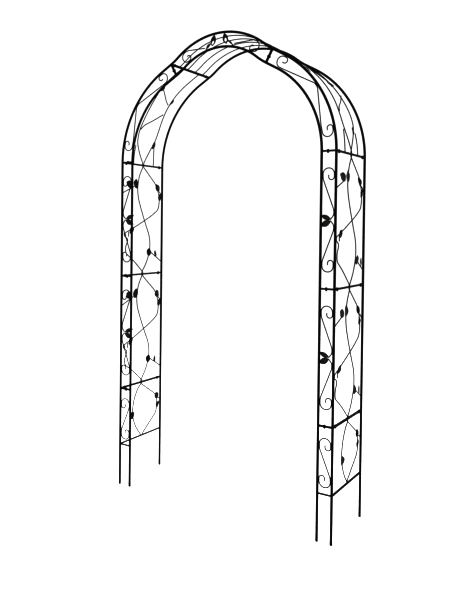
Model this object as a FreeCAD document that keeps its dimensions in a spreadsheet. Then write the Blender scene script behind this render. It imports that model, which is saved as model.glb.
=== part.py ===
# Garden trellis arch: a steel arch in nine bolted sections, with scroll and vine ornament.
# Frame: +Z up, X across the opening, -Y the front. The origin is on the ground plane of the
# leg ends, at the middle of the arch. The left and right sides mirror each other.
import FreeCAD, Part
import math
import os
import Sketcher
from FreeCAD import Placement, Rotation, Vector

doc = FreeCAD.newDocument("trellis_arch")

# Driving dimensions, in millimetres and degrees.
sheet = doc.addObject("Spreadsheet::Sheet", "Dimensions")
DIMENSIONS = [
    ("HalfWidth", 693.65, "middle of the arch to the axis of an outer tube"),
    ("LadderWidth", 78, "outer front tube to inner front tube, axis to axis"),
    ("PanelDepth", 387.3, "front tube to rear tube, axis to axis"),
    ("TubeDiameter", 12.7, "tube, outside"),
    ("TubeWall", 1, "wall of the tube"),
    ("LegLength", 245, "leg end to the lowest bars"),
    ("LowBay", 340, "lowest bars to the first bolted joint"),
    ("MainBay", 685, "one bolted joint to the next, on the middle and upper panels"),
    ("QuarterRadius", 587, "outer tube's axis in the quarter arches"),
    ("QuarterAngle", 60.7, "turn of the quarter arches"),
    ("QuarterRun", 73, "straight run from the quarter bend to the shoulder joint"),
    ("ReverseRadius", 342, "hollow bend at each end of the crown, outer tube's axis"),
    ("ReverseAngle", 9.6, "turn of the hollow bend"),
    ("BarWidth", 12, "flat bar, width"),
    ("BarThickness", 4, "flat bar, thickness"),
    ("BoltSetback", 34, "tube's axis to the nearest bolt"),
    ("BoltDiameter", 6, "bolt shank"),
    ("HoleDiameter", 6.5, "bolt hole in the bars"),
    ("HeadFlats", 10, "bolt head and nut, across the flats"),
    ("HeadHeight", 4, "bolt head"),
    ("NutHeight", 5, "nut"),
    ("BoltTail", 2, "thread showing below the nut"),
    ("SpigotLength", 60, "joining spigot inside two tubes"),
    ("PlugLength", 12, "part of the leg plug inside the tube"),
    ("PlugDome", 3, "rounded end of the leg plug"),
    ("PlugRound", 2.8, "radius of the plug's rounded rim"),
    ("ScrollWire", 5, "wire of the front scrolls"),
    ("VineWire", 5, "wire of the side vines and of the crown rails"),
    ("LeafThickness", 2, "leaf blade"),
]
for row, (alias, value, note) in enumerate(DIMENSIONS, start=1):
    sheet.set(f"A{row}", alias)
    sheet.set(f"B{row}", str(value))
    sheet.set(f"C{row}", note)
    sheet.setAlias(f"B{row}", alias)
doc.recompute()


def size(alias):
    """A driving dimension read back from the sheet."""
    return float(sheet.get(alias))


HALF_WIDTH = size("HalfWidth")
LADDER = size("LadderWidth")
DEPTH = size("PanelDepth")
TUBE_R = size("TubeDiameter") / 2
BORE_R = TUBE_R - size("TubeWall")
BAR_T = size("BarThickness")
LEG = size("LegLength")
JOINT_LOW = LEG + size("LowBay")
JOINT_MID = JOINT_LOW + size("MainBay")
SPRING = JOINT_MID + size("MainBay")
SCROLL_R = size("ScrollWire") / 2
VINE_R = size("VineWire") / 2
LEAF_T = size("LeafThickness")
FRONT_Y = -DEPTH / 2
SIDES = {"left": -1, "right": 1}

# The outer line of the arch, from the spring of the quarter bend to the crown's middle.
QUARTER_R = size("QuarterRadius")
QUARTER_TURN = math.radians(size("QuarterAngle"))
REVERSE_R = size("ReverseRadius")
REVERSE_TURN = math.radians(size("ReverseAngle"))
QUARTER_ARC = QUARTER_R * QUARTER_TURN
SHOULDER = QUARTER_ARC + size("QuarterRun")
QUARTER_CENTRE_X = HALF_WIDTH - QUARTER_R


def quarter_point(along, inward=0.0):
    """Point (x, z) and tangent angle at a distance along the quarter section's outer line,
    moved towards the opening by inward."""
    turn = min(along / QUARTER_R, QUARTER_TURN)
    radius = QUARTER_R - inward
    run = max(along - QUARTER_ARC, 0.0)
    x = QUARTER_CENTRE_X + radius * math.cos(turn) - run * math.sin(turn)
    z = SPRING + radius * math.sin(turn) + run * math.cos(turn)
    return x, z, turn + math.pi / 2


SHOULDER_X, SHOULDER_Z, SHOULDER_ANGLE = quarter_point(SHOULDER)
# At the shoulder the crown leaves with a hollow bend, then one arc goes over the top.
REVERSE_CENTRE_X = SHOULDER_X + REVERSE_R * math.cos(QUARTER_TURN)
REVERSE_CENTRE_Z = SHOULDER_Z + REVERSE_R * math.sin(QUARTER_TURN)
CROWN_TURN = math.pi / 2 - QUARTER_TURN + REVERSE_TURN
CROWN_R = REVERSE_CENTRE_X / math.sin(CROWN_TURN) - REVERSE_R
CROWN_CENTRE_Z = REVERSE_CENTRE_Z - (REVERSE_R + CROWN_R) * math.cos(CROWN_TURN)
CROWN_ARC = CROWN_R * CROWN_TURN
CROWN_HALF = CROWN_ARC + REVERSE_R * REVERSE_TURN


def crown_point(along, inward=0.0):
    """Point (x, z) at a distance along the crown's outer line from its middle, towards the
    right when positive, moved towards the opening by inward."""
    way = math.copysign(1.0, along)
    turn = min(abs(along), CROWN_ARC) / CROWN_R
    if abs(along) <= CROWN_ARC:
        radius = CROWN_R - inward
        return way * radius * math.sin(turn), CROWN_CENTRE_Z + radius * math.cos(turn)
    lean = CROWN_TURN - (abs(along) - CROWN_ARC) / REVERSE_R
    radius = REVERSE_R + inward
    x = REVERSE_CENTRE_X - radius * math.sin(lean)
    return way * x, REVERSE_CENTRE_Z - radius * math.cos(lean)


# ---- shapes made from wire, tube and plate -------------------------------------------------

def rounded_path(corners, radii=None):
    """Straight runs through the corners, joined by tangent arcs. Without radii, each arc
    takes 0.45 of the shorter run beside it."""
    edges = []
    start = corners[0]
    for index in range(1, len(corners) - 1):
        corner = corners[index]
        back = corners[index - 1] - corner
        ahead = corners[index + 1] - corner
        turn = math.pi - back.getAngle(ahead)
        if radii is None:
            setback = 0.45 * min(back.Length, ahead.Length)
        else:
            setback = radii[index - 1] * math.tan(turn / 2)
        back.normalize()
        ahead.normalize()
        enter = corner + back * setback
        leave = corner + ahead * setback
        radius = setback / math.tan(turn / 2)
        bisector = (back + ahead).normalize()
        middle = corner + bisector * (radius / math.cos(turn / 2) - radius)
        if (enter - start).Length > 1e-6:
            edges.append(Part.LineSegment(start, enter).toShape())
        edges.append(Part.Arc(enter, middle, leave).toShape())
        start = leave
    edges.append(Part.LineSegment(start, corners[-1]).toShape())
    return Part.Wire(edges)


def round_bar(path, radius):
    """Solid round bar along a path."""
    first = path.Edges[0]
    section = Part.Wire([Part.makeCircle(radius, first.valueAt(first.FirstParameter),
                                         first.tangentAt(first.FirstParameter))])
    solid = path.makePipeShell([section], True, True)
    expected = math.pi * radius ** 2 * path.Length
    if abs(solid.Volume / expected - 1) > 0.01:
        raise ValueError("a bent wire has lost its section")
    return solid


def leaf_blade(base, tip, face, width):
    """Leaf blade from base to tip: two arcs that meet in points, with its flat side
    towards face, centred on the line from base to tip."""
    spine = tip - base
    across = spine.cross(face).normalize() * (width / 2)
    middle = base + spine * 0.45
    lift = Vector(face).normalize() * (LEAF_T / 2)
    outline = Part.Wire([
        Part.Arc(base - lift, middle + across - lift, tip - lift).toShape(),
        Part.Arc(tip - lift, middle - across - lift, base - lift).toShape(),
    ])
    return Part.Face(outline).extrude(lift * 2)


def add_feature(name, solids):
    """One named node holding one solid or a group of separate solids."""
    node = doc.addObject("Part::Feature", name)
    node.Label = name
    node.Shape = solids[0] if len(solids) == 1 else Part.makeCompound(solids)
    return node


NODES = []


def find_plane(body, role):
    """Origin plane of a body."""
    return next(item for item in body.Origin.OriginFeatures if item.Role == role)


def new_sketch(body, name):
    """Sketch on the body's own XY plane."""
    sketch = body.newObject("Sketcher::SketchObject", name)
    sketch.AttachmentSupport = (find_plane(body, "XY_Plane"), [""])
    sketch.MapMode = "FlatFace"
    return sketch


def add_circle(sketch, expression, x=0.0):
    """Circle on the sketch's X axis, its radius bound to the sheet."""
    circle = sketch.addGeometry(Part.Circle(Vector(x, 0, 0), Vector(0, 0, 1), 1.0))
    if x == 0:
        sketch.addConstraint(Sketcher.Constraint("Coincident", circle, 3, -1, 1))
    constraint = sketch.addConstraint(Sketcher.Constraint("Radius", circle, 1.0))
    sketch.setExpression(f"Constraints[{constraint}]", expression)
    return circle


def add_pad(body, sketch, name, length):
    """Pad of a sketch with its length bound to the sheet."""
    pad = body.newObject("PartDesign::Pad", name)
    pad.Profile = sketch
    pad.setExpression("Length", length)
    return pad


# ---- tubes ---------------------------------------------------------------------------------

def straight_tube(name, x, y, z, length):
    """Straight tube standing at (x, y, z), its length an expression on the sheet."""
    body = doc.addObject("PartDesign::Body", name)
    body.Label = name
    sketch = new_sketch(body, name + "_section")
    add_circle(sketch, "Dimensions.TubeDiameter / 2")
    add_circle(sketch, "Dimensions.TubeDiameter / 2 - Dimensions.TubeWall")
    add_pad(body, sketch, name + "_run", length)
    body.Placement = Placement(Vector(x, y, z), Rotation())
    NODES.append(body)


def bent_tube(name, path, y):
    """Bent tube along a path drawn in the XZ plane, moved to depth y."""
    outer = round_bar(path, TUBE_R)
    bore = round_bar(path, BORE_R)
    node = add_feature(name, [outer.cut(bore)])
    node.Placement = Placement(Vector(0, y, 0), Rotation())
    NODES.append(node)


def flat_point(point):
    """Vector in the XZ plane from a point that starts with x and z."""
    return Vector(point[0], 0, point[1])


def quarter_path(side, inward):
    """Axis of a quarter section's tube: one bend and a short straight run."""
    def at(along):
        x, z = quarter_point(along, inward)[:2]
        return Vector(side * x, 0, z)
    bend = Part.Arc(at(0), at(QUARTER_ARC / 2), at(QUARTER_ARC)).toShape()
    run = Part.LineSegment(at(QUARTER_ARC), at(SHOULDER)).toShape()
    return Part.Wire([bend, run])


def crown_path(inward, trim=0.0):
    """Axis of a crown tube: hollow bend, arc over the top, hollow bend. Each end can be
    trimmed short of the shoulder joint."""
    def at(along):
        return flat_point(crown_point(along, inward))
    end = CROWN_HALF - trim
    knee = (end + CROWN_ARC) / 2
    return Part.Wire([
        Part.Arc(at(-end), at(-knee), at(-CROWN_ARC)).toShape(),
        Part.Arc(at(-CROWN_ARC), at(0), at(CROWN_ARC)).toShape(),
        Part.Arc(at(CROWN_ARC), at(knee), at(end)).toShape(),
    ])


# Where the tubes of one side stand: name, distance inwards from the outer line, depth.
TUBES = [("front_outer_tube", 0.0, FRONT_Y), ("front_inner_tube", LADDER, FRONT_Y),
         ("rear_tube", 0.0, -FRONT_Y)]
PANELS = [("bottom", size("PlugDome"),
           "Dimensions.LegLength + Dimensions.LowBay - Dimensions.PlugDome"),
          ("middle", JOINT_LOW, "Dimensions.MainBay"),
          ("upper", JOINT_MID, "Dimensions.MainBay")]

for side_name, side in SIDES.items():
    for tube_name, inward, depth in TUBES:
        for panel, foot, length in PANELS:
            straight_tube(f"{side_name}_{panel}_{tube_name}", side * (HALF_WIDTH - inward), depth,
                          foot, length)
        bent_tube(f"{side_name}_quarter_{tube_name}", quarter_path(side, inward), depth)
for tube_name, inward, depth in TUBES:
    bent_tube(f"crown_{tube_name}", crown_path(inward), depth)


# ---- flat bars, bolts, nuts, spigots and plugs ---------------------------------------------

def bar_blank(name, span, bolts):
    """Flat bar between two tubes, its ends hollowed to fit them and mitred beside them. It
    lies along its own X, from one tube's axis to the next, with bolt holes at the given places."""
    body = doc.addObject("PartDesign::Body", name)
    sketch = new_sketch(body, name + "_outline")
    half = size("BarWidth") / 2
    mitre = TUBE_R * math.sqrt(0.5)
    lower = [Vector(mitre, -mitre, 0), Vector(half, -half, 0), Vector(span - half, -half, 0),
             Vector(span - mitre, -mitre, 0)]
    upper = [Vector(point.x, -point.y, 0) for point in lower[::-1]]
    for edge in (lower, upper):
        for start, end in zip(edge, edge[1:]):
            sketch.addGeometry(Part.LineSegment(start, end))
    sketch.addGeometry(Part.Arc(lower[-1], Vector(span - TUBE_R, 0, 0), upper[0]))
    sketch.addGeometry(Part.Arc(upper[-1], Vector(TUBE_R, 0, 0), lower[0]))
    for place in bolts:
        add_circle(sketch, "Dimensions.HoleDiameter / 2", place)
    add_pad(body, sketch, name + "_plate", "Dimensions.BarThickness")
    doc.recompute()
    return body.Shape.copy()


SETBACK = size("BoltSetback")
LADDER_BOLTS = [LADDER - SETBACK]
PANEL_BOLTS = [SETBACK, DEPTH - SETBACK]
BAR_KINDS = {
    ("ladder", "bolted"): bar_blank("ladder_bar", LADDER, LADDER_BOLTS),
    ("panel", "bolted"): bar_blank("panel_bar", DEPTH, PANEL_BOLTS),
    ("ladder", "plain"): bar_blank("lowest_ladder_bar", LADDER, []),
    ("panel", "plain"): bar_blank("lowest_panel_bar", DEPTH, []),
}


def joint_frames(side, x, z, angle):
    """Placements that carry a bar's own X, Y and Z to a joint across the tubes at (x, z):
    the ladder bar runs inwards, the panel bar runs to the rear, and Z follows the tube."""
    up = Vector(side * math.cos(angle), 0, math.sin(angle))
    inwards = Vector(-side * math.sin(angle), 0, math.cos(angle))
    rear = Vector(0, 1, 0)
    corner = Vector(side * x, FRONT_Y, z)
    return {"ladder": (corner, inwards, up), "panel": (corner, rear, up)}


def frame_placement(frame, shift=0.0, along=0.0):
    """Placement at a joint frame, moved along the tube by shift and along the bar by along."""
    corner, bar_way, up = frame
    across = up.cross(bar_way)
    turn = Rotation(bar_way, across, up, "XYZ")
    return Placement(corner + up * shift + bar_way * along, turn)


def placed(shape, placement):
    """Copy of a shape at a placement."""
    copy = shape.copy()
    copy.Placement = placement
    return copy


def bars_at(frames, shift, kind="bolted"):
    """Ladder bar and panel bar of one section end."""
    return [placed(BAR_KINDS[(name, kind)], frame_placement(frame, shift))
            for name, frame in frames.items()]


UPRIGHT = math.pi / 2
JOINTS = {side_name: [joint_frames(side, HALF_WIDTH, JOINT_LOW, UPRIGHT),
                      joint_frames(side, HALF_WIDTH, JOINT_MID, UPRIGHT),
                      joint_frames(side, HALF_WIDTH, SPRING, UPRIGHT),
                      joint_frames(side, SHOULDER_X, SHOULDER_Z, SHOULDER_ANGLE)]
          for side_name, side in SIDES.items()}

for side_name, side in SIDES.items():
    low, mid, spring, shoulder = JOINTS[side_name]
    lowest = joint_frames(side, HALF_WIDTH, LEG, UPRIGHT)
    section_bars = {
        "bottom": bars_at(lowest, -BAR_T / 2, "plain") + bars_at(low, -BAR_T),
        "middle": bars_at(low, 0) + bars_at(mid, -BAR_T),
        "upper": bars_at(mid, 0) + bars_at(spring, -BAR_T),
        "quarter": bars_at(spring, 0) + bars_at(shoulder, -BAR_T),
    }
    for panel, bars in section_bars.items():
        NODES.append(add_feature(f"{side_name}_{panel}_bars", bars))
NODES.append(add_feature("crown_bars", bars_at(JOINTS["left"][3], 0)
                         + bars_at(JOINTS["right"][3], 0)))


def hexagon_prism(flats, foot, height):
    """Hexagonal prism standing upright at height foot."""
    corner_r = flats / math.sqrt(3)
    angles = [k * math.pi / 3 for k in range(7)]
    corners = [Vector(corner_r * math.cos(a), corner_r * math.sin(a), foot) for a in angles]
    return Part.Face(Part.makePolygon(corners)).extrude(Vector(0, 0, height))


HEAD_FLATS = size("HeadFlats")
BOLT_R = size("BoltDiameter") / 2
NUT_H = size("NutHeight")
NUT_FOOT = -BAR_T - NUT_H
BOLT_END = NUT_FOOT - size("BoltTail")
bolt_blank = hexagon_prism(HEAD_FLATS, BAR_T, size("HeadHeight")).fuse(
    Part.makeCylinder(BOLT_R, BAR_T - BOLT_END, Vector(0, 0, BOLT_END))).removeSplitter()
nut_blank = hexagon_prism(HEAD_FLATS, NUT_FOOT, NUT_H).cut(
    Part.makeCylinder(BOLT_R, NUT_H, Vector(0, 0, NUT_FOOT)))
spigot_blank = Part.makeCylinder(BORE_R, size("SpigotLength"),
                                 Vector(0, 0, -size("SpigotLength") / 2))

bolts = []
nuts = []
spigots = []
for side_name in SIDES:
    for frames in JOINTS[side_name]:
        for name, places in (("ladder", LADDER_BOLTS), ("panel", PANEL_BOLTS)):
            for place in places:
                spot = frame_placement(frames[name], 0.0, place)
                bolts.append(placed(bolt_blank, spot))
                nuts.append(placed(nut_blank, spot))
NODES.append(add_feature("joint_bolts", bolts))
NODES.append(add_feature("joint_nuts", nuts))


def bent_spigot(side, inward, depth):
    """Spigot of a bent joint: it follows the tube's axis through the shoulder."""
    half = size("SpigotLength") / 2
    below = [quarter_point(SHOULDER - half * part, inward)[:2] for part in (1, 0)]
    above = [crown_point(CROWN_HALF - half * part, inward) for part in (0.5, 1)]
    foot, joint = [Vector(side * x, depth, z) for x, z in below]
    middle, end = [Vector(side * x, depth, z) for x, z in above]
    path = Part.Wire([Part.LineSegment(foot, joint).toShape(),
                      Part.Arc(joint, middle, end).toShape()])
    return round_bar(path, BORE_R)


def spring_spigot(side, inward, depth):
    """Spigot at the spring: straight below the joint, bent with the quarter arch above."""
    half = size("SpigotLength") / 2
    x = side * (HALF_WIDTH - inward)
    bend = [Vector(side * px, depth, pz) for px, pz, _ in
            (quarter_point(0, inward), quarter_point(half / 2, inward), quarter_point(half, inward))]
    path = Part.Wire([Part.LineSegment(Vector(x, depth, SPRING - half), bend[0]).toShape(),
                      Part.Arc(*bend).toShape()])
    return round_bar(path, BORE_R)


plugs = []
plug_blank = Part.makeCylinder(BORE_R, size("PlugLength"))
dome = Part.makeCylinder(TUBE_R, size("PlugDome"), Vector(0, 0, -size("PlugDome")))
dome = dome.makeFillet(size("PlugRound"), [edge for edge in dome.Edges
                       if edge.BoundBox.ZMax < -size("PlugDome") + 1e-6])
plug_blank = plug_blank.fuse(dome).removeSplitter()
for side_name, side in SIDES.items():
    for _, inward, depth in TUBES:
        x = side * (HALF_WIDTH - inward)
        for level in (JOINT_LOW, JOINT_MID):
            spigots.append(placed(spigot_blank, Placement(Vector(x, depth, level), Rotation())))
        spigots.append(spring_spigot(side, inward, depth))
        spigots.append(bent_spigot(side, inward, depth))
        plugs.append(placed(plug_blank, Placement(Vector(x, depth, size("PlugDome")), Rotation())))
NODES.append(add_feature("tube_spigots", spigots))
NODES.append(add_feature("leg_plugs", plugs))


# ---- ornament: scrolls, vines and leaves ---------------------------------------------------
# A place on the ornament is (along, inward) on the front face, and (depth share, height
# share) on the side face, both measured on the section's outer line.

NEAR_OUTER = TUBE_R + SCROLL_R
NEAR_INNER = LADDER - NEAR_OUTER
MIDDLE = LADDER / 2
LOOP_R = 29
CURL_R = 14.5
SWEEP_R = 60
ELBOW_R = 30


def straight_place(foot):
    """Place function of a straight panel that stands at height foot."""
    def place(side, along, inward, y):
        return Vector(side * (HALF_WIDTH - inward), y, foot + along)
    return place


def quarter_place(side, along, inward, y):
    """Place function of a quarter section."""
    x, z = quarter_point(along, inward)[:2]
    return Vector(side * x, y, z)


def crown_place(side, along, inward, y):
    """Place function of the crown, along measured from its middle towards the side."""
    x, z = crown_point(side * along, inward)
    return Vector(x, y, z)


def scroll_end(level, way, curl_side, far_side):
    """Corners of a scroll: from its inner end round the small curl, then round the full
    loop. The loop's round end faces way, and the curl hugs the tube on curl_side."""
    return [(level - 4 * way, MIDDLE), (level - 28 * way, MIDDLE), (level - 28 * way, curl_side),
            (level + 30 * way, curl_side), (level + 30 * way, far_side)]


SCROLL_RADII = [CURL_R, CURL_R, LOOP_R, LOOP_R]


def front_wire(place, side, corners, radii):
    """Scroll wire on the front face."""
    path = rounded_path([place(side, along, inward, FRONT_Y) for along, inward in corners], radii)
    return round_bar(path, SCROLL_R)


LEAF_LEVEL = SCROLL_R + LEAF_T / 2


def front_leaf(place, side, base, tip, width, level):
    """Leaf blade of the front face, its level measured back from the scroll wires' plane."""
    y = FRONT_Y + level
    return leaf_blade(place(side, *base, y), place(side, *tip, y), Vector(0, 1, 0), width)


def open_leaf(place, side, base, tip, width):
    """Leaf in front of the wires with a leaf-shaped hole, so that only its rim is left."""
    inner_base, inner_tip = [tuple(b + share * (t - b) for b, t in zip(base, tip))
                             for share in (HOLE_FOOT, HOLE_TOP)]
    blade = front_leaf(place, side, base, tip, width, -LEAF_LEVEL)
    return blade.cut(front_leaf(place, side, inner_base, inner_tip, width * HOLE_WIDTH, -LEAF_LEVEL))


def side_point(place, side, length, spot, inward):
    """Point of the side face at (depth share, height share)."""
    return place(side, spot[1] * length, inward, FRONT_Y + spot[0] * DEPTH)


OUTSIDE = -VINE_R
INSIDE = VINE_R


def vine(place, side, length, route, layer):
    """Vine wire on the side face, on the outside or inside layer."""
    points = [side_point(place, side, length, spot, layer) for spot in route]
    path = rounded_path(points) if len(points) > 2 else Part.Wire(Part.makeLine(*points))
    return round_bar(path, VINE_R)


def side_leaf(place, side, length, base, tip, width, layer):
    """Leaf blade lying on a vine wire of the side face."""
    level = layer + math.copysign(VINE_R + LEAF_T / 2, layer)
    root, end = (side_point(place, side, length, spot, level) for spot in (base, tip))
    face = (side_point(place, side, length, base, 0) - side_point(place, side, length, base, 1))
    return leaf_blade(root, end, face, width)


# Main bay, front face: two scroll wires that cross at mid height and end in two leaves.
BAY = size("MainBay")
HALF_BAY = BAY / 2
CROSSING = 26.5
MAIN_SCROLL = scroll_end(BAY - 115, 1, NEAR_OUTER, NEAR_INNER) + [
    (BAY - 137, NEAR_INNER), (HALF_BAY + 50, NEAR_OUTER), (HALF_BAY + 24, NEAR_OUTER),
    (HALF_BAY + 3.5, CROSSING)]
MAIN_RADII = SCROLL_RADII + [SWEEP_R, SWEEP_R, ELBOW_R]
MAIN_FRONT_LEAVES = [((HALF_BAY + 2, 24), (HALF_BAY + 20, 72.5), 22, LEAF_LEVEL + LEAF_T),
                     ((HALF_BAY - 3, 24), (HALF_BAY - 26, 71.5), 28, LEAF_LEVEL)]

# Main bay, side face: a slow vine outside and a full vine inside, crossing in the middle.
# The vines stand on the bars: their ends are a hair's breadth off the bars' faces.
HAIR = 0.08
MAIN_FOOT = (BAR_T + HAIR) / BAY
MAIN_HEAD = 1 - MAIN_FOOT
SLOW_VINE = [(0.495, MAIN_FOOT), (0.495, 0.018), (0.61, 0.10), (0.70, 0.22), (0.69, 0.34),
             (0.58, 0.46), (0.47, 0.59), (0.39, 0.70), (0.37, 0.79), (0.41, 0.90), (0.495, 0.98),
             (0.495, MAIN_HEAD)]
FULL_VINE = [(0.505, MAIN_FOOT), (0.505, 0.018), (0.27, 0.13), (0.08, 0.20), (0.08, 0.26),
             (0.13, 0.305), (0.12, 0.33), (0.05, 0.35), (0.055, 0.377), (0.29, 0.43), (0.50, 0.483),
             (0.72, 0.54), (0.895, 0.60), (0.92, 0.68), (0.90, 0.75), (0.83, 0.83), (0.505, 0.982),
             (0.505, MAIN_HEAD)]
MAIN_STEMS = [((0.29, 0.80), (0.0175, 0.735), OUTSIDE), ((0.715, 0.20), (0.9825, 0.11), OUTSIDE),
              ((0.91, 0.77), (0.9825, 0.735), INSIDE), ((0.15, 0.39), (0.15, 0.345), INSIDE)]
MAIN_SIDE_LEAVES = [
    ((0.35, 0.785), (0.365, 0.87), 42, OUTSIDE), ((0.275, 0.80), (0.125, 0.835), 42, OUTSIDE),
    ((0.685, 0.165), (0.70, 0.235), 42, OUTSIDE), ((0.865, 0.15), (0.85, 0.215), 18, OUTSIDE),
    ((0.895, 0.772), (0.84, 0.838), 38, INSIDE), ((0.91, 0.685), (0.94, 0.75), 30, INSIDE),
    ((0.175, 0.375), (0.26, 0.43), 32, INSIDE), ((0.062, 0.343), (0.055, 0.385), 16, INSIDE)]

# Bottom bay: one S-shaped scroll in front, two bowed vines at the side.
LOW_BAY = size("LowBay")
HALF_LOW = LOW_BAY / 2
LOW_SCROLL = (scroll_end(HALF_LOW + 80, 1, NEAR_OUTER, NEAR_INNER)
              + [(HALF_LOW + 58, NEAR_INNER), (HALF_LOW - 84, NEAR_OUTER)]
              + scroll_end(HALF_LOW - 105, -1, NEAR_INNER, NEAR_OUTER)[::-1])
LOW_RADII = SCROLL_RADII + [SWEEP_R, SWEEP_R] + SCROLL_RADII[::-1]
LOW_FOOT = (BAR_T / 2 + HAIR) / LOW_BAY
LOW_HEAD = 1 - (BAR_T + HAIR) / LOW_BAY
LOW_SLOW_VINE = [(0.49, LOW_FOOT), (0.49, 0.035), (0.40, 0.15), (0.32, 0.32), (0.29, 0.50),
                 (0.33, 0.72), (0.42, 0.89), (0.495, 0.96), (0.495, LOW_HEAD)]
LOW_FULL_VINE = [(0.535, LOW_FOOT), (0.535, 0.035), (0.865, 0.33), (0.90, 0.42), (0.895, 0.60),
                 (0.85, 0.70), (0.505, 0.96), (0.505, LOW_HEAD)]
LOW_STEM = ((0.915, 0.625), (0.9825, 0.575), INSIDE)
LOW_SIDE_LEAVES = [((0.30, 0.355), (0.295, 0.495), 46, OUTSIDE),
                   ((0.91, 0.60), (0.865, 0.72), 38, INSIDE),
                   ((0.895, 0.43), (0.92, 0.55), 30, INSIDE)]

# Quarter arch: a long scroll wire in front; two vines along the arch at the side, with
# branches between them.
QUARTER_INNER = NEAR_INNER - 1.5
QUARTER_SCROLL = (scroll_end(106, -1, NEAR_OUTER, QUARTER_INNER)
                  + [(111, QUARTER_INNER), (147, QUARTER_INNER), (345, NEAR_OUTER),
                     (372, NEAR_OUTER), (586, QUARTER_INNER)]
                  + scroll_end(608, 1, NEAR_OUTER, QUARTER_INNER)[::-1])
QUARTER_RADII = SCROLL_RADII + [SWEEP_R, SWEEP_R, ELBOW_R, ELBOW_R, SWEEP_R] + SCROLL_RADII[::-1]
# These vines list (depth share, distance along the arch).
FRONT_RUNNER = [(0.495, BAR_T), (0.495, 14), (0.40, 70), (0.31, 135), (0.29, 200), (0.31, 270),
                (0.32, 340), (0.32, 410), (0.30, 480), (0.29, 550), (0.29, 620),
                (0.29, SHOULDER - BAR_T)]
REAR_RUNNER = [(0.505, BAR_T), (0.505, 14), (0.62, 90), (0.72, 160), (0.74, 220), (0.73, 290),
               (0.71, 360), (0.70, 430), (0.70, 500), (0.705, 565), (0.71, 625),
               (0.71, SHOULDER - BAR_T)]
QUARTER_BRANCHES = [
    ([(0.27, BAR_T), (0.27, 60), (0.285, 120)], OUTSIDE),
    ([(0.75, BAR_T), (0.745, 60), (0.725, 120)], INSIDE),
    ([(0.31, 218), (0.37, 250), (0.54, 290), (0.70, 340)], OUTSIDE),
    ([(0.69, 410), (0.60, 430), (0.47, 470), (0.33, 510)], OUTSIDE)]
BENT_LAYER = INSIDE + 1.3
QUARTER_SIDE_LEAVES = [((0.67, 112), (0.73, 158), 26, BENT_LAYER),
                       ((0.70, 415), (0.70, 460), 18, BENT_LAYER),
                       ((0.31, 495), (0.26, 540), 28, BENT_LAYER)]

# Crown: four rails over the top, and in front a scroll, a bent stay, a small leaf and an
# open leaf on each side. The open leaf's hole starts and ends at shares of its length.
RAIL_SHARES = [0.2, 0.4, 0.6, 0.8]
CROWN_INNER = NEAR_INNER - 1.5
CROWN_SCROLL = [(252, MIDDLE), (230, MIDDLE), (230, CROWN_INNER), (286, CROWN_INNER),
                (286, NEAR_OUTER), (236, NEAR_OUTER + 1.5), (112, 60)]
CROWN_RADII = [CURL_R, CURL_R, LOOP_R - 2, LOOP_R - 2, SWEEP_R]
CROWN_STAY = [(32, TUBE_R + 1.7), (58, 42), (82, 60), (108, LADDER - TUBE_R - 1.7)]
STAY_RADII = [SWEEP_R, SWEEP_R]
CROWN_LEAF = ((100, 65), (66, 46), 10, -LEAF_LEVEL)
CROWN_OPEN_LEAF = ((33, 9), (55, 66), 34)
HOLE_FOOT = 0.4
HOLE_TOP = 0.87
HOLE_WIDTH = 0.45


# The leaves of the whole arch make two groups: those on the scrolls and those on the vines.
scroll_leaves = []
vine_leaves = []


def add_ornament(prefix, scrolls, vines):
    """The two ornament nodes of one section."""
    NODES.append(add_feature(prefix + "_scrolls", scrolls))
    NODES.append(add_feature(prefix + "_vines", vines))


def mirrored_height(corners, length):
    """The same corners with the panel turned upside down."""
    return [(length - along, inward) for along, inward in corners]


for side_name, side in SIDES.items():
    for panel, foot in (("middle", JOINT_LOW), ("upper", JOINT_MID)):
        place = straight_place(foot)
        scrolls = [front_wire(place, side, corners, MAIN_RADII)
                   for corners in (MAIN_SCROLL, mirrored_height(MAIN_SCROLL, BAY))]
        vines = [vine(place, side, BAY, SLOW_VINE, OUTSIDE), vine(place, side, BAY, FULL_VINE, INSIDE)]
        vines += [vine(place, side, BAY, [start, end], layer) for start, end, layer in MAIN_STEMS]
        scroll_leaves += [front_leaf(place, side, *leaf) for leaf in MAIN_FRONT_LEAVES]
        vine_leaves += [side_leaf(place, side, BAY, *leaf) for leaf in MAIN_SIDE_LEAVES]
        add_ornament(f"{side_name}_{panel}", scrolls, vines)

    place = straight_place(LEG)
    add_ornament(f"{side_name}_bottom", [front_wire(place, side, LOW_SCROLL, LOW_RADII)],
                 [vine(place, side, LOW_BAY, LOW_SLOW_VINE, OUTSIDE),
                  vine(place, side, LOW_BAY, LOW_FULL_VINE, INSIDE),
                  vine(place, side, LOW_BAY, LOW_STEM[:2], LOW_STEM[2])])
    vine_leaves += [side_leaf(place, side, LOW_BAY, *leaf) for leaf in LOW_SIDE_LEAVES]

    vines = [vine(quarter_place, side, 1, FRONT_RUNNER, OUTSIDE),
             vine(quarter_place, side, 1, REAR_RUNNER, INSIDE)]
    vines += [vine(quarter_place, side, 1, route, layer) for route, layer in QUARTER_BRANCHES]
    add_ornament(f"{side_name}_quarter",
                 [front_wire(quarter_place, side, QUARTER_SCROLL, QUARTER_RADII)], vines)
    vine_leaves += [side_leaf(quarter_place, side, 1, *leaf) for leaf in QUARTER_SIDE_LEAVES]

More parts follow.
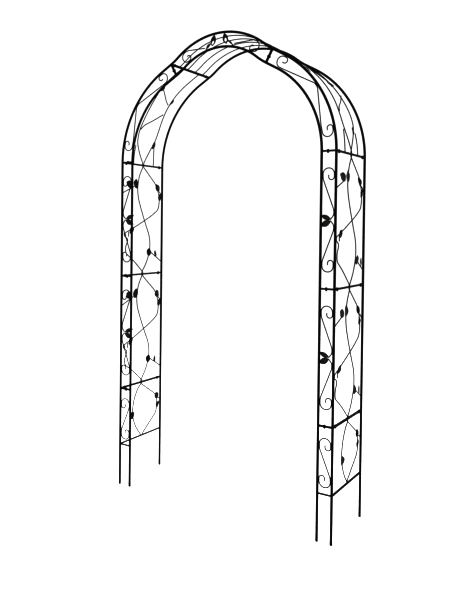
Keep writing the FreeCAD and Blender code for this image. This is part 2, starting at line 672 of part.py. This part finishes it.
crown_scrolls = []
for side in SIDES.values():
    crown_scrolls.append(front_wire(crown_place, side, CROWN_SCROLL, CROWN_RADII))
    crown_scrolls.append(front_wire(crown_place, side, CROWN_STAY, STAY_RADII))
    scroll_leaves.append(front_leaf(crown_place, side, *CROWN_LEAF))
    scroll_leaves.append(open_leaf(crown_place, side, *CROWN_OPEN_LEAF))
rails = []
for share in RAIL_SHARES:
    rail = round_bar(crown_path(0.0, BAR_T), VINE_R)
    rail.translate(Vector(0, FRONT_Y + share * DEPTH, 0))
    rails.append(rail)
add_ornament("crown", crown_scrolls, rails)
NODES.append(add_feature("scroll_leaves", scroll_leaves))
NODES.append(add_feature("vine_leaves", vine_leaves))


# ---- check and export ----------------------------------------------------------------------
doc.recompute()
for item in doc.Objects:
    if "Invalid" in item.State or "Error" in item.State:
        raise RuntimeError(f"{item.Name} failed: {item.State}")
os.makedirs("parts", exist_ok=True)
for node in NODES:
    if node.Shape.isNull() or not node.Shape.isValid():
        raise RuntimeError(f"{node.Label} has a bad shape")
    node.Shape.exportStep(f"parts/{node.Label}.step")
print(len(NODES), "nodes,", sum(len(node.Shape.Solids) for node in NODES), "solids")
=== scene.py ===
import bmesh
import bpy
import numpy as np
from mathutils import Matrix, Vector


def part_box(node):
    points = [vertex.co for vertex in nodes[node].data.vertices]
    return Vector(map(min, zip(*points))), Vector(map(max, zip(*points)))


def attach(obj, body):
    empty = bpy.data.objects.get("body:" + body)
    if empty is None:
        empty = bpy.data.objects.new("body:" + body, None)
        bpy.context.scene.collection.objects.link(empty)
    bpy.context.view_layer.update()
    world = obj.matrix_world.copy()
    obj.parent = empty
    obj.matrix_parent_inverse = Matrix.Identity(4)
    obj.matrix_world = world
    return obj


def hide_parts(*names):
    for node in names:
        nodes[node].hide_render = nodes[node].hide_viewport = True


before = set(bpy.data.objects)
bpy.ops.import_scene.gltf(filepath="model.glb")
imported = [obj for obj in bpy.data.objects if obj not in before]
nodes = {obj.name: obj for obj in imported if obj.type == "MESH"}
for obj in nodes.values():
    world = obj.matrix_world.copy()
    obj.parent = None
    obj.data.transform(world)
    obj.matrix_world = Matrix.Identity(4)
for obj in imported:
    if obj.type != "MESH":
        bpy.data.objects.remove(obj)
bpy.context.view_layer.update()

# ---- Tubes ------------------------------------------------------------------------------
# Twenty-seven lengths of thin round steel tube, cut, bent on a roller and plugged into each
# other, carry the whole arch. They are dusted with black polyester powder after welding and
# baked, so the coat is even, satin and very slightly dimpled.

# Cycles to the metre: clouds of about 70 mm in the film and grit of about 4 mm in the dust.
CLOUD_SCALE, GRIT_SCALE = 14.0, 260.0
PAINT_SPECULAR = 0.16
DUST_COLOUR = "#6f6a60"


def linear(hex_colour):
    """Linear RGBA of an sRGB hex colour: each channel is undone with the sRGB curve."""
    channels = np.array([int(hex_colour[i:i + 2], 16) for i in (1, 3, 5)]) / 255
    low, high = channels / 12.92, ((channels + 0.055) / 1.055) ** 2.4
    return (*np.where(channels <= 0.04045, low, high), 1.0)


def add_node(tree, kind, inputs, **settings):
    """One shader node: its settings, then its inputs, each a number, a colour or a link."""
    node = tree.nodes.new(kind)
    for key, value in settings.items():
        setattr(node, key, value)
    for key, value in inputs.items():
        if isinstance(value, bpy.types.NodeSocket):
            tree.links.new(value, node.inputs[key])
        else:
            node.inputs[key].default_value = value
    return node


def powder_coat(name, coat, film, roughness, peel_mm, peel_depth, dust):
    """Baked polyester powder: a near-black coat with a thin greyer film in cloudy patches,
    dimples of peel_mm like orange peel, and garden dust that settles where it faces up."""
    material = bpy.data.materials.new(name)
    material.use_nodes = True
    tree = material.node_tree
    shader = tree.nodes["Principled BSDF"]
    place = add_node(tree, "ShaderNodeTexCoord", {}).outputs["Object"]
    cloud = add_node(tree, "ShaderNodeTexNoise", {
        "Vector": place, "Scale": CLOUD_SCALE, "Detail": 4.0, "Roughness": 0.6}).outputs["Fac"]
    patch = add_node(tree, "ShaderNodeMapRange", {
        "Value": cloud, "From Min": 0.42, "From Max": 0.68}).outputs["Result"]
    grit = add_node(tree, "ShaderNodeTexNoise", {
        "Vector": place, "Scale": GRIT_SCALE, "Detail": 3.0, "Roughness": 0.7}).outputs["Fac"]
    facing = add_node(tree, "ShaderNodeSeparateXYZ", {
        0: add_node(tree, "ShaderNodeNewGeometry", {}).outputs["Normal"]}).outputs["Z"]
    upward = add_node(tree, "ShaderNodeMapRange", {
        "Value": facing, "From Min": 0.35, "From Max": 1.0, "To Max": dust}).outputs["Result"]
    settled = add_node(tree, "ShaderNodeMath", {0: upward, 1: grit}, operation="MULTIPLY").outputs[0]
    base = add_node(tree, "ShaderNodeMix", {
        "Factor": patch, 6: linear(coat), 7: linear(film)}, data_type="RGBA").outputs[2]
    dusty = add_node(tree, "ShaderNodeMix", {
        "Factor": settled, 6: base, 7: linear(DUST_COLOUR)}, data_type="RGBA").outputs[2]
    gloss = add_node(tree, "ShaderNodeMapRange", {
        "Value": cloud, "From Min": 0.3, "From Max": 0.75,
        "To Min": roughness - 0.06, "To Max": roughness + 0.12}).outputs["Result"]
    peel = add_node(tree, "ShaderNodeTexNoise", {
        "Vector": place, "Scale": 1000.0 / peel_mm, "Detail": 2.0, "Roughness": 0.45}).outputs["Fac"]
    dimples = add_node(tree, "ShaderNodeBump", {
        "Height": peel, "Strength": 0.5, "Distance": peel_depth}).outputs["Normal"]
    tree.links.new(dusty, shader.inputs["Base Color"])
    tree.links.new(gloss, shader.inputs["Roughness"])
    tree.links.new(dimples, shader.inputs["Normal"])
    shader.inputs["Specular IOR Level"].default_value = PAINT_SPECULAR
    return material


def paint(names, material):
    """Every named node takes the material on all its slots."""
    for name in names:
        for number in range(len(nodes[name].material_slots)):
            nodes[name].material_slots[number].material = material


# Satin black polyester on drawn tube: deep black, soft highlights, orange peel of about
# 3 mm. The peel is coarser and deeper than the real 10 microns, so that it shows.
tube_coat = powder_coat("satin_black_polyester_tube", "#07080b", "#101216", 0.42, 3.0, 0.00012, 0.10)
paint([name for name in nodes if name.endswith("_tube")], tube_coat)


# ---- Flat bars and their welds ------------------------------------------------------------
# Short lengths of flat steel bar, sheared and coped to fit the tubes, tie each section's
# tubes at its two ends. A small bead of weld joins each end on the face that stays free
# when two sections are bolted together.

# Hot-rolled flat bar keeps a faint scale texture under the coat, so its peel is coarser.
bar_coat = powder_coat("satin_black_polyester_bar", "#08090b", "#131519", 0.48, 4.0, 0.00016, 0.16)
paint([name for name in nodes if name.endswith("_bars")], bar_coat)


def node_points(name):
    """Corner points of a node's mesh, one row each."""
    mesh = nodes[name].data
    points = np.empty(len(mesh.vertices) * 3, np.float32)
    mesh.vertices.foreach_get("co", points)
    return points.reshape(-1, 3).astype(float)


def solids_of(name):
    """Corner points of each separate solid of a node. Corners at one place are one corner,
    and each corner takes the lowest number among the triangles that share it, over and
    over, until nothing changes: solids are the corners that end with the same number."""
    mesh = nodes[name].data
    corners = np.empty(len(mesh.loops), np.int32)
    mesh.loops.foreach_get("vertex_index", corners)
    points, single = np.unique(np.round(node_points(name), 6), axis=0, return_inverse=True)
    triangles = single.reshape(-1)[corners].reshape(-1, 3)
    label = np.arange(len(points))
    while True:
        lowest = label[triangles].min(axis=1)
        fresh = label.copy()
        np.minimum.at(fresh, triangles.reshape(-1), np.repeat(lowest, 3))
        fresh = fresh[fresh]
        if (fresh == label).all():
            return [points[label == value] for value in np.unique(label)]
        label = fresh


def own_frame(points):
    """Middle, the three principal directions and the reach along each, furthest reach first:
    the directions are the eigenvectors of the points' spread about their mean."""
    spread = points - points.mean(axis=0)
    turn = np.linalg.eigh(spread.T @ spread)[1].T
    turn = turn[np.argsort(-np.ptp(points @ turn.T, axis=0))]
    along = points @ turn.T
    middle = (along.max(axis=0) + along.min(axis=0)) / 2
    reach = (along.max(axis=0) - along.min(axis=0)) / 2
    return middle @ turn, turn, reach


def skin(name, rings, looped=False):
    """Closed solids from rings: rings is solids by rows by columns by xyz. Each row is a
    closed ring and neighbouring rows are joined. The end rows close on their middles, or
    join each other when looped."""
    solids, rows, columns, _ = rings.shape
    index = np.arange(solids * rows * columns).reshape(solids, rows, columns)
    near, far = (index, np.roll(index, -1, 1)) if looped else (index[:, :-1], index[:, 1:])
    quads = np.stack([near, np.roll(near, -1, 2), np.roll(far, -1, 2), far], -1).reshape(-1, 4)
    points, faces = rings.reshape(-1, 3), quads.tolist()
    if not looped:
        ends = index[:, [0, -1]]
        poles = index.size + np.arange(solids * 2).reshape(solids, 2, 1) + 0 * ends
        fans = np.stack([poles, ends, np.roll(ends, -1, 2)], -1).reshape(-1, 3)
        points = np.concatenate([points, rings[:, [0, -1]].mean(axis=2).reshape(-1, 3)])
        faces += fans.tolist()
    mesh = bpy.data.meshes.new(name)
    mesh.from_pydata(points.tolist(), [], faces)
    shape = bmesh.new()
    shape.from_mesh(mesh)
    bmesh.ops.recalc_face_normals(shape, faces=shape.faces)
    shape.to_mesh(mesh)
    shape.free()
    mesh.polygons.foreach_set("use_smooth", np.ones(len(mesh.polygons), bool))
    piece = bpy.data.objects.new(name, mesh)
    bpy.context.scene.collection.objects.link(piece)
    return piece


def finished(piece, material, slot, *replaced):
    """The piece takes its material, stands for the replaced nodes and rides along. The slot is not used."""
    piece.data.materials.append(material)
    if replaced:
        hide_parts(*replaced)
    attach(piece, "root")


TUBE_RADIUS = (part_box("left_bottom_rear_tube")[1].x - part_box("left_bottom_rear_tube")[0].x) / 2
BEAD_RADIUS = 0.0014
BEAD_SWEEP = np.radians(50)
BEAD_LIFT = 0.0002
RIPPLE_DEPTH, RIPPLES = 0.12, 26


def weld_bead(middle, length_way, width_way, free_way, half_length, half_width, half_thick, end):
    """Bead round a coped bar end: a small round section is carried along an arc about the
    tube's axis, on the bar's free face, and swells and shrinks in ripples as it goes."""
    axis = middle + end * (half_length + np.sqrt(TUBE_RADIUS ** 2 - half_width ** 2)) * length_way
    sweep = np.linspace(-BEAD_SWEEP, BEAD_SWEEP, 15)[:, None, None]
    around = np.linspace(0, 2 * np.pi, 8, endpoint=False)[None, :, None]
    taper = np.sqrt(np.clip(1 - (sweep / BEAD_SWEEP) ** 6, 0.05, 1))
    radius = BEAD_RADIUS * taper * (1 + RIPPLE_DEPTH * np.cos(sweep * RIPPLES))
    outward = -end * np.cos(sweep) * length_way + np.sin(sweep) * width_way
    line = axis + (TUBE_RADIUS + BEAD_LIFT) * outward + (half_thick + BEAD_LIFT) * free_way
    return line + radius * (np.cos(around) * outward + np.sin(around) * free_way)


beads = []
for bars in [name for name in nodes if name.endswith("_bars")]:
    section_middle = node_points(bars).mean(axis=0)
    for bar in solids_of(bars):
        middle, (length_way, width_way, free_way), (half_length, half_width, half_thick) = own_frame(bar)
        free_way = free_way * np.sign(free_way @ (section_middle - middle))
        beads += [weld_bead(middle, length_way, width_way, free_way, half_length, half_width,
                            half_thick, end) for end in (-1, 1)]
bar_welds = skin("bar_welds", np.array(beads))
# Weld metal under powder: the coat runs thicker and glossier over the ripples.
weld_coat = powder_coat("black_polyester_over_weld", "#08090c", "#17191d", 0.38, 2.0, 0.0001, 0.10)
finished(bar_welds, weld_coat, "bar_powder_coat")


# ---- Bolts and nuts -------------------------------------------------------------------------
# Small hexagon bolts in blackened steel clamp the bars of two sections face to face, so the
# arch comes apart for its box. Their heads are cold-formed and chamfered, their threads
# rolled, and the thin oxide on them is greyer and sharper than the powder coat.

HEAD_HEIGHT = 0.004
SHANK_RADIUS = 0.003
SHANK_SHARE = 0.45
THREAD_ROOT, THREAD_DEPTH, THREAD_PITCH = 0.0026, 0.0004, 0.001
TAIL_CHAMFER = 0.0003
NUT_BORE, NUT_LIP = (0.0027, 0.0032, 0.0036), (0.0008, 0.0003, 0.0)
# A bolt's corners farther than this from its axis belong to the head.
HEAD_REACH = 0.0045
TURNS = np.linspace(0, 2 * np.pi, 36, endpoint=False)
FLAT_SHARE = 1 / np.cos((TURNS + np.pi / 6) % (np.pi / 3) - np.pi / 6)


def around_axis(foot, axis, radius, height):
    """Rings about an axis: radius and height are rows by columns, and the turn angle is the
    column. Two unit vectors square to the axis carry the cosine and the sine."""
    cross = np.cross(axis, [0.36, 0.48, 0.8])
    cross /= np.linalg.norm(cross)
    other = np.cross(axis, cross)
    return (foot + radius[..., None] * (np.cos(TURNS)[:, None] * cross + np.sin(TURNS)[:, None] * other)
            + height[..., None] * axis)


def hexagon(half_flats, foot, top, chamfered_foot):
    """Radius and height rows of a hexagon with 30 degree chamfers: the chamfer is a cone
    from just inside the flats, so it cuts lower at the corners, where the radius is more."""
    corner = half_flats * FLAT_SHARE
    rim = 0.94 * half_flats + 0 * corner
    drop = (corner - rim) * np.tan(np.pi / 6)
    foot_drop = drop if chamfered_foot else 0 * drop
    radii = np.array([rim, corner, corner, rim])
    return radii, np.array([foot + 0 * rim, foot + foot_drop, top - drop, top + 0 * rim])


def bolt_rings(foot, axis, span, half_flats):
    """Bolt from its head's crown to its rolled tail: hexagon, plain shank, then a thread
    whose radius rises and falls once for each millimetre turn, as a helix."""
    radii, heights = hexagon(half_flats, 0, HEAD_HEIGHT, False)
    tail = np.linspace(SHANK_SHARE * span, span - HEAD_HEIGHT, 60)[:, None] + 0 * TURNS
    wave = np.abs(((tail / THREAD_PITCH - TURNS / (2 * np.pi)) % 1) * 2 - 1)
    fade = np.clip((span - HEAD_HEIGHT - tail) / THREAD_PITCH, 0, 1)
    thread = THREAD_ROOT + THREAD_DEPTH * wave * fade - TAIL_CHAMFER * (1 - fade)
    shank = np.array([[0.0], [SHANK_SHARE * span]]) + 0 * TURNS
    inner = 0.6 * radii[:1]
    return around_axis(foot, axis,
                       np.concatenate([inner, radii[::-1], SHANK_RADIUS + 0 * shank, thread]),
                       np.concatenate([heights[-1:] + 0.0001, heights[::-1], -shank, -tail]))


def nut_rings(foot, axis, thickness, half_flats):
    """Nut as a ring: chamfered hexagon outside and the thread's bore inside."""
    radii, heights = hexagon(half_flats, 0, thickness, True)
    bore = np.array(NUT_BORE)[:, None] + 0 * TURNS
    lip = np.array(NUT_LIP)[:, None] + 0 * TURNS
    return around_axis(foot, axis, np.concatenate([bore, radii, bore[::-1]]),
                       np.concatenate([lip, heights, thickness - lip[::-1]]))


bolt_shapes, nut_shapes, bolt_axes, bolt_middles = [], [], [], []
for bolt in solids_of("joint_bolts"):
    middle, (axis, _, _), (reach, _, _) = own_frame(bolt)
    offset = (bolt - middle) @ axis
    radius = np.linalg.norm(bolt - middle - offset[:, None] * axis, axis=1)
    axis = axis * np.sign((offset * (radius > HEAD_REACH)).sum())
    bolt_shapes.append(bolt_rings(middle + (reach - HEAD_HEIGHT) * axis, axis, 2 * reach,
                                  radius.max() * np.cos(np.pi / 6)))
    bolt_axes.append(axis)
    bolt_middles.append(middle)
for nut in solids_of("joint_nuts"):
    middle = (nut.max(axis=0) + nut.min(axis=0)) / 2
    nearest = np.linalg.norm(np.array(bolt_middles) - middle, axis=1).argmin()
    axis = bolt_axes[nearest]
    offset = (nut - middle) @ axis
    across = np.linalg.norm(nut - middle - offset[:, None] * axis, axis=1).max()
    nut_shapes.append(nut_rings(middle + offset.min() * axis, axis, np.ptp(offset),
                                across * np.cos(np.pi / 6)))
# Black oxide on cold-formed steel: a dark half-metallic grey with sharper highlights.
oxide = powder_coat("black_oxide_steel", "#15161a", "#2b2d33", 0.34, 1.5, 0.00005, 0.12)
oxide.node_tree.nodes["Principled BSDF"].inputs["Metallic"].default_value = 0.55
finished(skin("hex_bolts", np.array(bolt_shapes)), oxide, "fastener_black_steel", "joint_bolts")
finished(skin("hex_nuts", np.array(nut_shapes), looped=True), oxide, "fastener_black_steel", "joint_nuts")


# ---- Scroll wires and vine wires --------------------------------------------------------------
# Round mild-steel wire, bent cold round pegs into scrolls for the front ladders and into
# long bowed vines for the side panels and the roof. Tack welds hold each wire where it
# touches a tube, a bar or another wire, and all is coated with the frame.

# Thin coat on drawn wire: the draw marks and the thinner film leave it slightly greyer.
wire_coat = powder_coat("satin_black_polyester_wire", "#0b0c0f", "#1a1c20", 0.46, 2.5, 0.0001, 0.14)
paint([name for name in nodes if name.endswith(("_scrolls", "_vines"))], wire_coat)


def tube_skin_points(name):
    """Points all over a straight tube: 24 round it every 1.5 mm, on its own box's axis."""
    low, high = (np.array(corner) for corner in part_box(name))
    turn, height = np.meshgrid(np.linspace(0, 2 * np.pi, 24, endpoint=False),
                               np.arange(low[2], high[2], 0.0015))
    middle = (low + high) / 2
    return np.stack([middle[0] + TUBE_RADIUS * np.cos(turn), middle[1] + TUBE_RADIUS * np.sin(turn),
                     height], -1).reshape(-1, 3)


def meeting_places(first, second, cell=0.0028, apart=0.016):
    """Middles of the places where two clouds of points come together: both are rounded to
    cells, the cells that hold points of both are kept, and kept cells that share a coarser
    cell are averaged."""
    shared = set(map(tuple, np.round(first / cell).astype(int).tolist()))
    shared &= set(map(tuple, np.round(second / cell).astype(int).tolist()))
    if not shared:
        return np.empty((0, 3))
    spots = np.array(sorted(shared)) * cell
    groups = np.unique(np.round(spots / apart).astype(int), axis=0, return_inverse=True)[1].reshape(-1)
    return np.array([spots[groups == group].mean(axis=0) for group in np.unique(groups)])


# A tube with fewer corners than this is straight: its corners lie at its ends only, so
# points are laid all over it instead.
STRAIGHT_CORNERS = 1000
places = []
for name in [name for name in nodes if name.endswith(("_scrolls", "_vines"))]:
    section = name.rsplit("_", 1)[0]
    wires = node_points(name)
    for tube in [other for other in nodes if other.startswith(section) and other.endswith("_tube")]:
        straight = len(nodes[tube].data.vertices) < STRAIGHT_CORNERS
        places.append(meeting_places(wires, tube_skin_points(tube) if straight else node_points(tube)))
    places.append(meeting_places(wires, node_points(section + "_bars")))
places = np.concatenate(places)


def nuggets(spots, radius, seed):
    """Tack welds: small balls squashed a little at random, their radius a sphere's with a
    gentle lobe that turns with height."""
    chance = np.random.default_rng(seed)
    rise = np.linspace(0.18, np.pi - 0.18, 7)[:, None]
    turn = np.linspace(0, 2 * np.pi, 10, endpoint=False)
    phase = chance.uniform(0, 2 * np.pi, (len(spots), 1, 1))
    swell = radius * (1 + 0.1 * np.sin(3 * turn + 2 * rise + phase))
    ball = np.stack([swell * np.sin(rise) * np.cos(turn), swell * np.sin(rise) * np.sin(turn),
                     swell * np.cos(rise)], -1)
    stretch = chance.uniform(0.8, 1.2, (len(spots), 1, 1, 3))
    return spots[:, None, None, :] + ball * stretch


TACK_RADIUS = 0.0027
wire_welds = skin("wire_tack_welds", nuggets(places, TACK_RADIUS, 7))
finished(wire_welds, weld_coat, "wire_powder_coat")


# ---- Leaves -----------------------------------------------------------------------------------
# Pressed sheet-steel leaves, each stamped in a die that raises its midrib and side veins and
# cups the blade, then curled a little by hand and spot-welded to a scroll or vine. Two open
# leaves on the crown are stamped as a rim round a leaf-shaped hole.

TEETH, TOOTH_DEPTH = 5.5, 0.08
HALF_SHEET = 0.0008
RIB_HEIGHT, VEIN_HEIGHT = 0.0008, 0.0005
HOLE_FOOT, HOLE_TOP, HOLE_WIDTH = 0.4, 0.87, 0.45


def leaf_outline(t, base):
    """Half width as a share of the widest: a sine of the share t along the leaf, raised to
    a power that goes from base to 0.95 at the tip. Base 0.5 is a round foot, 1 a pointed one."""
    return np.sin(np.pi * t) ** (base + (0.95 - base) * t)


def leaf_rings(root, tip, face, width, base, cup, curl, sway, rows=36, columns=40):
    """Leaf from root to tip. Share t runs along it and angle a round it: cos a goes across
    and sin a through the sheet. Shallow teeth run along the edge. The blade is cupped with
    the square of the distance from the midrib, bends by curl times the square of t, sways
    as a slow sine, and its midrib and slanting side veins stand proud."""
    length = np.linalg.norm(tip - root)
    along = (tip - root) / length
    across = np.cross(face, along)
    t = np.linspace(0.004, 0.996, rows)[:, None]
    a = np.linspace(0, 2 * np.pi, columns, endpoint=False)[None, :]
    side = np.cos(a)
    outline = leaf_outline(t, base)
    teeth = 1 + TOOTH_DEPTH * np.abs(side) ** 3 * (np.abs(((t * TEETH) % 1) * 2 - 1) - 0.5)
    reach = side * width / 2 * outline * teeth
    slant = (t * 6 - np.abs(side) * 1.3 * outline) % 1 - 0.5
    vein = np.exp(-(slant / 0.13) ** 2) * (1 - np.exp(-(reach / 0.002) ** 2)) * (outline > 0.25)
    rib = np.exp(-(reach / 0.0011) ** 2) * (1 - t) ** 0.3
    sheet = HALF_SHEET * np.sign(np.sin(a)) * np.abs(np.sin(a)) ** 0.35 + 0 * t
    raised = RIB_HEIGHT * rib + VEIN_HEIGHT * vein
    bend = curl * t ** 2 + 0.02 * length * np.sin(7 * t + sway)
    lift = cup * side ** 2 * outline + bend + sheet + raised
    rings = (root + (t * length)[..., None] * along + reach[..., None] * across
             + lift[..., None] * face)
    # Painted highlight: the raised midrib and veins, and less strongly the middle of the blade, are marked
    # paler than the rim, as if they catch the light.
    inside = np.clip((1 - np.abs(side)) * 3, 0, 1) * np.clip(outline * 1.5, 0, 1)
    return rings, np.maximum(rib, vein) * inside + 0.45 * inside


def open_leaf_rings(root, tip, face, width, rows=96, columns=12):
    """Open leaf as a closed loop: angle a goes round the leaf. Its outer line is the leaf's
    outline and its inner line is the same outline at HOLE_WIDTH of the width, from HOLE_FOOT
    to HOLE_TOP of the length. Angle b goes round the section: cos b leads from the inner
    line to the outer one and sin b through the sheet, which humps between the two lines."""
    length = np.linalg.norm(tip - root)
    along = (tip - root) / length
    across = np.cross(face, along)
    a = np.linspace(0, 2 * np.pi, rows, endpoint=False)[:, None]
    b = np.linspace(0, 2 * np.pi, columns, endpoint=False)[None, :]
    t = 0.001 + 0.998 * (1 - np.cos(a)) / 2
    side = np.sign(np.sin(a)) * leaf_outline(t, 0.6) * width / 2
    hole = HOLE_FOOT + (HOLE_TOP - HOLE_FOOT) * t
    middle_along, half_along = length * (t + hole) / 2, length * (t - hole) / 2
    middle_side, half_side = side * (1 + HOLE_WIDTH) / 2, side * (1 - HOLE_WIDTH) / 2
    lift = HALF_SHEET * np.sin(b) * (1 + 0 * a) + 0.0012 * (1 - np.cos(b) ** 2)
    rings = (root + (middle_along + half_along * np.cos(b))[..., None] * along
             + (middle_side + half_side * np.cos(b))[..., None] * across + lift[..., None] * face)
    # Painted highlight: the crest of the sheet's hump between the two lines is marked paler, as if it
    # catches the light.
    return rings, 0.25 * (1 - np.cos(b) ** 2) * np.ones_like(a)


def leaf_piece(name, leaves, looped=False):
    """Many leaves as one piece, with their painted highlights kept as an attribute."""
    rings, highlight_tones = (np.array(part) for part in zip(*leaves))
    piece = skin(name, rings, looped)
    values = np.zeros(len(piece.data.vertices), np.float32)
    values[:highlight_tones.size] = highlight_tones.reshape(-1)
    piece.data.attributes.new("painted_highlight", "FLOAT", "POINT").data.foreach_set("value", values)
    return piece


# Powder over pressed sheet, with painted highlights: the raised veins and the middle of the blade
# are painted paler grey, as if they catch the light, so the blade reads as grey hatching inside a black rim.
VEIN_HIGHLIGHT_COLOUR = "#474642"
leaf_coat = powder_coat("satin_black_polyester_leaf", "#090a0c", "#191a1d", 0.42, 2.5, 0.00012, 0.20)
leaf_tree = leaf_coat.node_tree
leaf_shader = leaf_tree.nodes["Principled BSDF"]
# The painted highlight mixes the pale grey into the coat colour on the veins and the middle of the blade.
highlight_share = add_node(leaf_tree, "ShaderNodeAttribute", {}, attribute_name="painted_highlight").outputs["Fac"]
coat_colour = leaf_shader.inputs["Base Color"].links[0].from_socket
highlighted = add_node(leaf_tree, "ShaderNodeMix", {
    "Factor": highlight_share, 6: coat_colour, 7: linear(VEIN_HIGHLIGHT_COLOUR)}, data_type="RGBA").outputs[2]
leaf_tree.links.new(highlighted, leaf_shader.inputs["Base Color"])

# Each blade runs a little past its plain plate: 2 to 5 per cent in length, 5 to 10 in width.
# Vine leaves are cupped by CUP_SHARE of their half width and each curls by its own chance.
CUP_SHARE = 0.12
chance = np.random.default_rng(11)
vine_leaves = []
for blade in solids_of("vine_leaves"):
    middle, (along, across, face), (half_length, half_width, _) = own_frame(blade)
    along = along * np.sign(along[2])
    face = face * np.sign(face[0] * middle[0])
    vine_leaves.append(leaf_rings(
        middle - 1.02 * half_length * along, middle + 1.05 * half_length * along, face,
        2.1 * half_width, 0.5, CUP_SHARE * half_width, chance.uniform(-0.006, 0.006), chance.uniform(0, 6)))
finished(leaf_piece("vine_leaf_blades", vine_leaves), leaf_coat, "leaf_powder_coat", "vine_leaves")

# Front leaves start at the crossing of the scroll wires and curl back behind the inner tube.
SHOULDER_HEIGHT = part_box("crown_bars")[0].z
FRONT_TIP, FRONT_CURL = 0.011, 0.0075
# The crown's leaves wider than this to each side are the open ones.
OPEN_LEAF_WIDTH = 0.012
front = np.array([0.0, -1.0, 0.0])
scroll_leaves, open_leaves = [], []
for blade in solids_of("scroll_leaves"):
    middle, (along, across, face), (half_length, half_width, _) = own_frame(blade)
    along = along * -np.sign(along[0] * middle[0])
    root, tip = middle - half_length * along, middle + half_length * along
    if middle[2] > SHOULDER_HEIGHT and half_width > OPEN_LEAF_WIDTH:
        open_leaves.append(open_leaf_rings(tip, root, front, 2 * half_width))
    elif middle[2] > SHOULDER_HEIGHT:
        scroll_leaves.append(leaf_rings(root, tip, front, 2.1 * half_width, 0.7, 0.002, 0.002, 0.0))
    else:
        scroll_leaves.append(leaf_rings(root, tip + FRONT_TIP * along, front, 2.2 * half_width, 1.1,
                                        CUP_SHARE * half_width, -FRONT_CURL, 3.0))
finished(leaf_piece("scroll_leaf_blades", scroll_leaves), leaf_coat, "leaf_powder_coat", "scroll_leaves")
finished(leaf_piece("crown_open_leaves", open_leaves, looped=True), leaf_coat, "leaf_powder_coat")


# ---- Spigots and leg plugs ------------------------------------------------------------------
# Turned steel spigots inside the tube ends line up one section with the next, and soft
# polyethylene plugs keep earth out of the legs.

# Bright drawn steel, oiled: it hides inside the joints, with fine rings from the lathe.
spigot_steel = powder_coat("oiled_drawn_steel", "#6c6d70", "#8a8b8d", 0.32, 1.0, 0.00003, 0.0)
spigot_steel.node_tree.nodes["Principled BSDF"].inputs["Metallic"].default_value = 1.0
paint(["tube_spigots"], spigot_steel)
# Moulded polyethylene: waxy and matt, with a fine spark-eroded grain from its mould.
plug_plastic = powder_coat("black_polyethylene", "#0d0d0e", "#19191b", 0.62, 0.8, 0.00006, 0.0)
paint(["leg_plugs"], plug_plastic)


# ---- Studio -----------------------------------------------------------------------------------
# A white sweep in a daylight studio: even white light all round and two large soft boxes.
# The camera stands in front and to the right at chest height, its lens level and its film
# lowered so that the legs stay in the picture.

FLOOR_REACH = 30
FLOOR_CORNERS = ((-1, -1), (1, -1), (1, 1), (-1, 1))
floor_mesh = bpy.data.meshes.new("studio_floor")
floor_mesh.from_pydata([(x * FLOOR_REACH, y * FLOOR_REACH, 0) for x, y in FLOOR_CORNERS], [], [(0, 1, 2, 3)])
studio_floor = bpy.data.objects.new("studio_floor", floor_mesh)
bpy.context.scene.collection.objects.link(studio_floor)
paper = bpy.data.materials.new("matt_white_paper")
paper.use_nodes = True
paper_shader = paper.node_tree.nodes["Principled BSDF"]
paper_shader.inputs["Base Color"].default_value = linear("#fbfbfb")
paper_shader.inputs["Roughness"].default_value = 0.9
paper_shader.inputs["Specular IOR Level"].default_value = 0.1
floor_mesh.materials.append(paper)

WHITE_LEVEL = 1.08
world = bpy.data.worlds.new("white_studio")
world.use_nodes = True
world.node_tree.nodes["Background"].inputs["Color"].default_value = (1.0, 1.0, 1.0, 1.0)
world.node_tree.nodes["Background"].inputs["Strength"].default_value = WHITE_LEVEL
bpy.context.scene.world = world
# A dark print: the low gamma turns black paint near black and leaves the white paper white.
PRINT_GAMMA = 0.44
bpy.context.scene.view_settings.view_transform = "Standard"
bpy.context.scene.view_settings.gamma = PRINT_GAMMA

LAMP_TARGET = Vector((0, 0, 1.2))
for name, spot, power, size in (("key_soft_box", (3.5, -4.5, 5.5), 320.0, 3.0),
                                ("fill_soft_box", (-5.0, -2.0, 4.5), 160.0, 3.5)):
    lamp = bpy.data.lights.new(name, "AREA")
    lamp.energy = power
    lamp.size = size
    holder = bpy.data.objects.new(name, lamp)
    holder.location = spot
    holder.rotation_euler = (LAMP_TARGET - Vector(spot)).to_track_quat("-Z", "Y").to_euler()
    bpy.context.scene.collection.objects.link(holder)

# The viewpoint in metres, its turns in radians, and the lens in millimetres.
VIEWPOINT = (1.9652, -3.1790, 1.5706)
YAW, PITCH, ROLL = 0.5693, -0.0155, 0.0112
FOCAL_LENGTH = 39.03
forward = Vector((-np.sin(YAW) * np.cos(PITCH), np.cos(YAW) * np.cos(PITCH), np.sin(PITCH)))
level_right = Vector((np.cos(YAW), np.sin(YAW), 0))
level_up = level_right.cross(forward)
right = np.cos(ROLL) * level_right + np.sin(ROLL) * level_up
up = np.cos(ROLL) * level_up - np.sin(ROLL) * level_right
lens = bpy.data.cameras.new("camera")
lens.lens = FOCAL_LENGTH
lens.shift_x = -0.0013
lens.shift_y = -0.1043
camera = bpy.data.objects.new("camera", lens)
turned = Matrix((right, up, -forward)).transposed().to_4x4()
camera.matrix_world = Matrix.Translation(VIEWPOINT) @ turned
bpy.context.scene.collection.objects.link(camera)
bpy.context.scene.camera = camera
